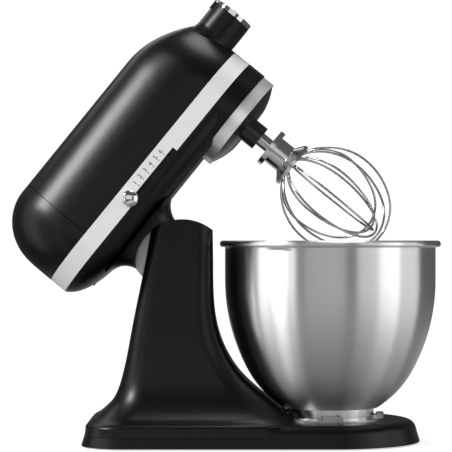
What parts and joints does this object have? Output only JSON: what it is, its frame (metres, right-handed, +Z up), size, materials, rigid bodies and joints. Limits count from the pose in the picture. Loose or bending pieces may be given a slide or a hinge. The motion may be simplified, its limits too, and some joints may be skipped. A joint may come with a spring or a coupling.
{
  "type": "stand mixer",
  "caption": "Tilt-head stand mixer with a raised black cast head, steel trim band, attachment hub, planetary wire whisk and a twist-lock steel bowl on the base.",
  "frame": {"origin": "on the table under the bowl's axis, at the centre of the middle rubber foot", "axes": "+X from the column towards the bowl and nose, +Y to the machine's left, +Z up along the bowl's axis"},
  "size_m": [0.3766, 0.194, 0.3877],
  "materials": {
    "black_paint": "satin",
    "brushed_band": "brushed",
    "bowl_steel": "brushed",
    "chrome": "polished",
    "cast_aluminium": "satin",
    "steel": "satin",
    "bronze": "satin",
    "rubber": "matte",
    "black_plastic": "satin",
    "board": "satin",
    "iron": "matte",
    "copper": "satin"
  },
  "bodies": {
    "base": {"base_casting": "black_paint", "rubber_feet": "rubber", "bowl_clamp_plate": "steel", "clamp_screws": "steel", "hinge_pin": "steel"},
    "bowl": {"bowl": "bowl_steel", "bowl_foot": "bowl_steel"},
    "head": {"upper_housing": "black_paint", "rear_cover": "black_paint", "rear_cover_screw": "steel", "lower_housing": "black_paint", "trim_band": "brushed_band", "hinge_tongue": "cast_aluminium", "tongue_bolts": "steel", "cord_gland": "black_plastic", "hub_sleeve": "steel", "hub_cap_pin": "chrome", "motor_stator": "iron", "motor_bearings": "steel", "brush_holders": "black_plastic", "speed_board": "board", "gear_frame": "cast_aluminium", "ring_gear": "steel", "planetary_bush": "bronze"},
    "planetary": {"planetary_carrier": "cast_aluminium", "drip_ring": "chrome", "planetary_shaft": "steel", "center_gear": "steel", "bevel_gear": "steel"},
    "beater": {"beater_shaft": "steel", "beater_pinion": "steel", "drive_pin": "steel", "whisk_hub": "cast_aluminium", "whisk_crown": "cast_aluminium", "whisk_wires": "chrome"},
    "layshaft": {"pinion_shaft": "steel", "worm_wheel": "bronze"},
    "rotor": {"armature": "iron", "commutator": "copper", "cooling_fan": "black_plastic", "worm": "steel"},
    "hub_drive": {"hub_gear": "steel"},
    "hub_flap": {"hub_cap": "chrome"},
    "hub_screw": {"hub_knob": "black_plastic"},
    "speed_lever": {"speed_knob": "chrome", "speed_slider": "black_plastic"},
    "head_lock": {"lock_knob": "chrome", "lock_bolt": "black_plastic"}
  },
  "joints": [
    {"name": "head_tilt", "type": "hinge", "parent": "base", "child": "head", "pos_m": [-0.129, 0, 0.154], "axis": [0, 1, 0], "range_deg": [0, 51]},
    {"name": "bowl_twist", "type": "hinge", "parent": "base", "child": "bowl", "pos_m": [0, 0, 0.0216], "axis": [0, 0, 1], "range_deg": [0, 24]},
    {"name": "planetary_spin", "type": "hinge", "parent": "head", "child": "planetary", "pos_m": [-0.0859, 0, 0.28509], "axis": [-0.7771, 0, 0.6293], "continuous": true},
    {"name": "beater_spin", "type": "hinge", "parent": "planetary", "child": "beater", "pos_m": [-0.08636, -0.02124, 0.28451], "axis": [-0.7771, 0, 0.6293], "continuous": true},
    {"name": "layshaft_spin", "type": "hinge", "parent": "head", "child": "layshaft", "pos_m": [-0.12169, 0.0185, 0.27584], "axis": [-0.7771, 0, 0.6293], "continuous": true},
    {"name": "rotor_spin", "type": "hinge", "parent": "head", "child": "rotor", "pos_m": [-0.17758, 0, 0.23066], "axis": [0.6293, 0, 0.7771], "continuous": true},
    {"name": "hub_spin", "type": "hinge", "parent": "head", "child": "hub_drive", "pos_m": [-0.10448, 0, 0.35161], "axis": [0.6293, 0, 0.7771], "continuous": true},
    {"name": "hub_cap_flip", "type": "hinge", "parent": "head", "child": "hub_flap", "pos_m": [-0.09897, 0, 0.38574], "axis": [0, -1, 0], "range_deg": [0, 120]},
    {"name": "hub_knob_turn", "type": "hinge", "parent": "head", "child": "hub_screw", "pos_m": [-0.09693, 0.02, 0.36093], "axis": [0, 1, 0], "continuous": true},
    {"name": "speed_slide", "type": "slide", "parent": "head", "child": "speed_lever", "axis": [0.6284, 0.0539, 0.776], "range_m": [0, 0.048]},
    {"name": "lock_slide", "type": "slide", "parent": "head", "child": "head_lock", "axis": [0.6284, -0.0539, 0.776], "range_m": [0, 0.012]}
  ],
  "couplings": [
    {"joint": "beater_spin", "follows": "planetary_spin", "ratio": -3.125},
    {"joint": "layshaft_spin", "follows": "planetary_spin", "ratio": -2.5},
    {"joint": "rotor_spin", "follows": "planetary_spin", "ratio": 50},
    {"joint": "hub_spin", "follows": "planetary_spin", "ratio": 2}
  ]
}
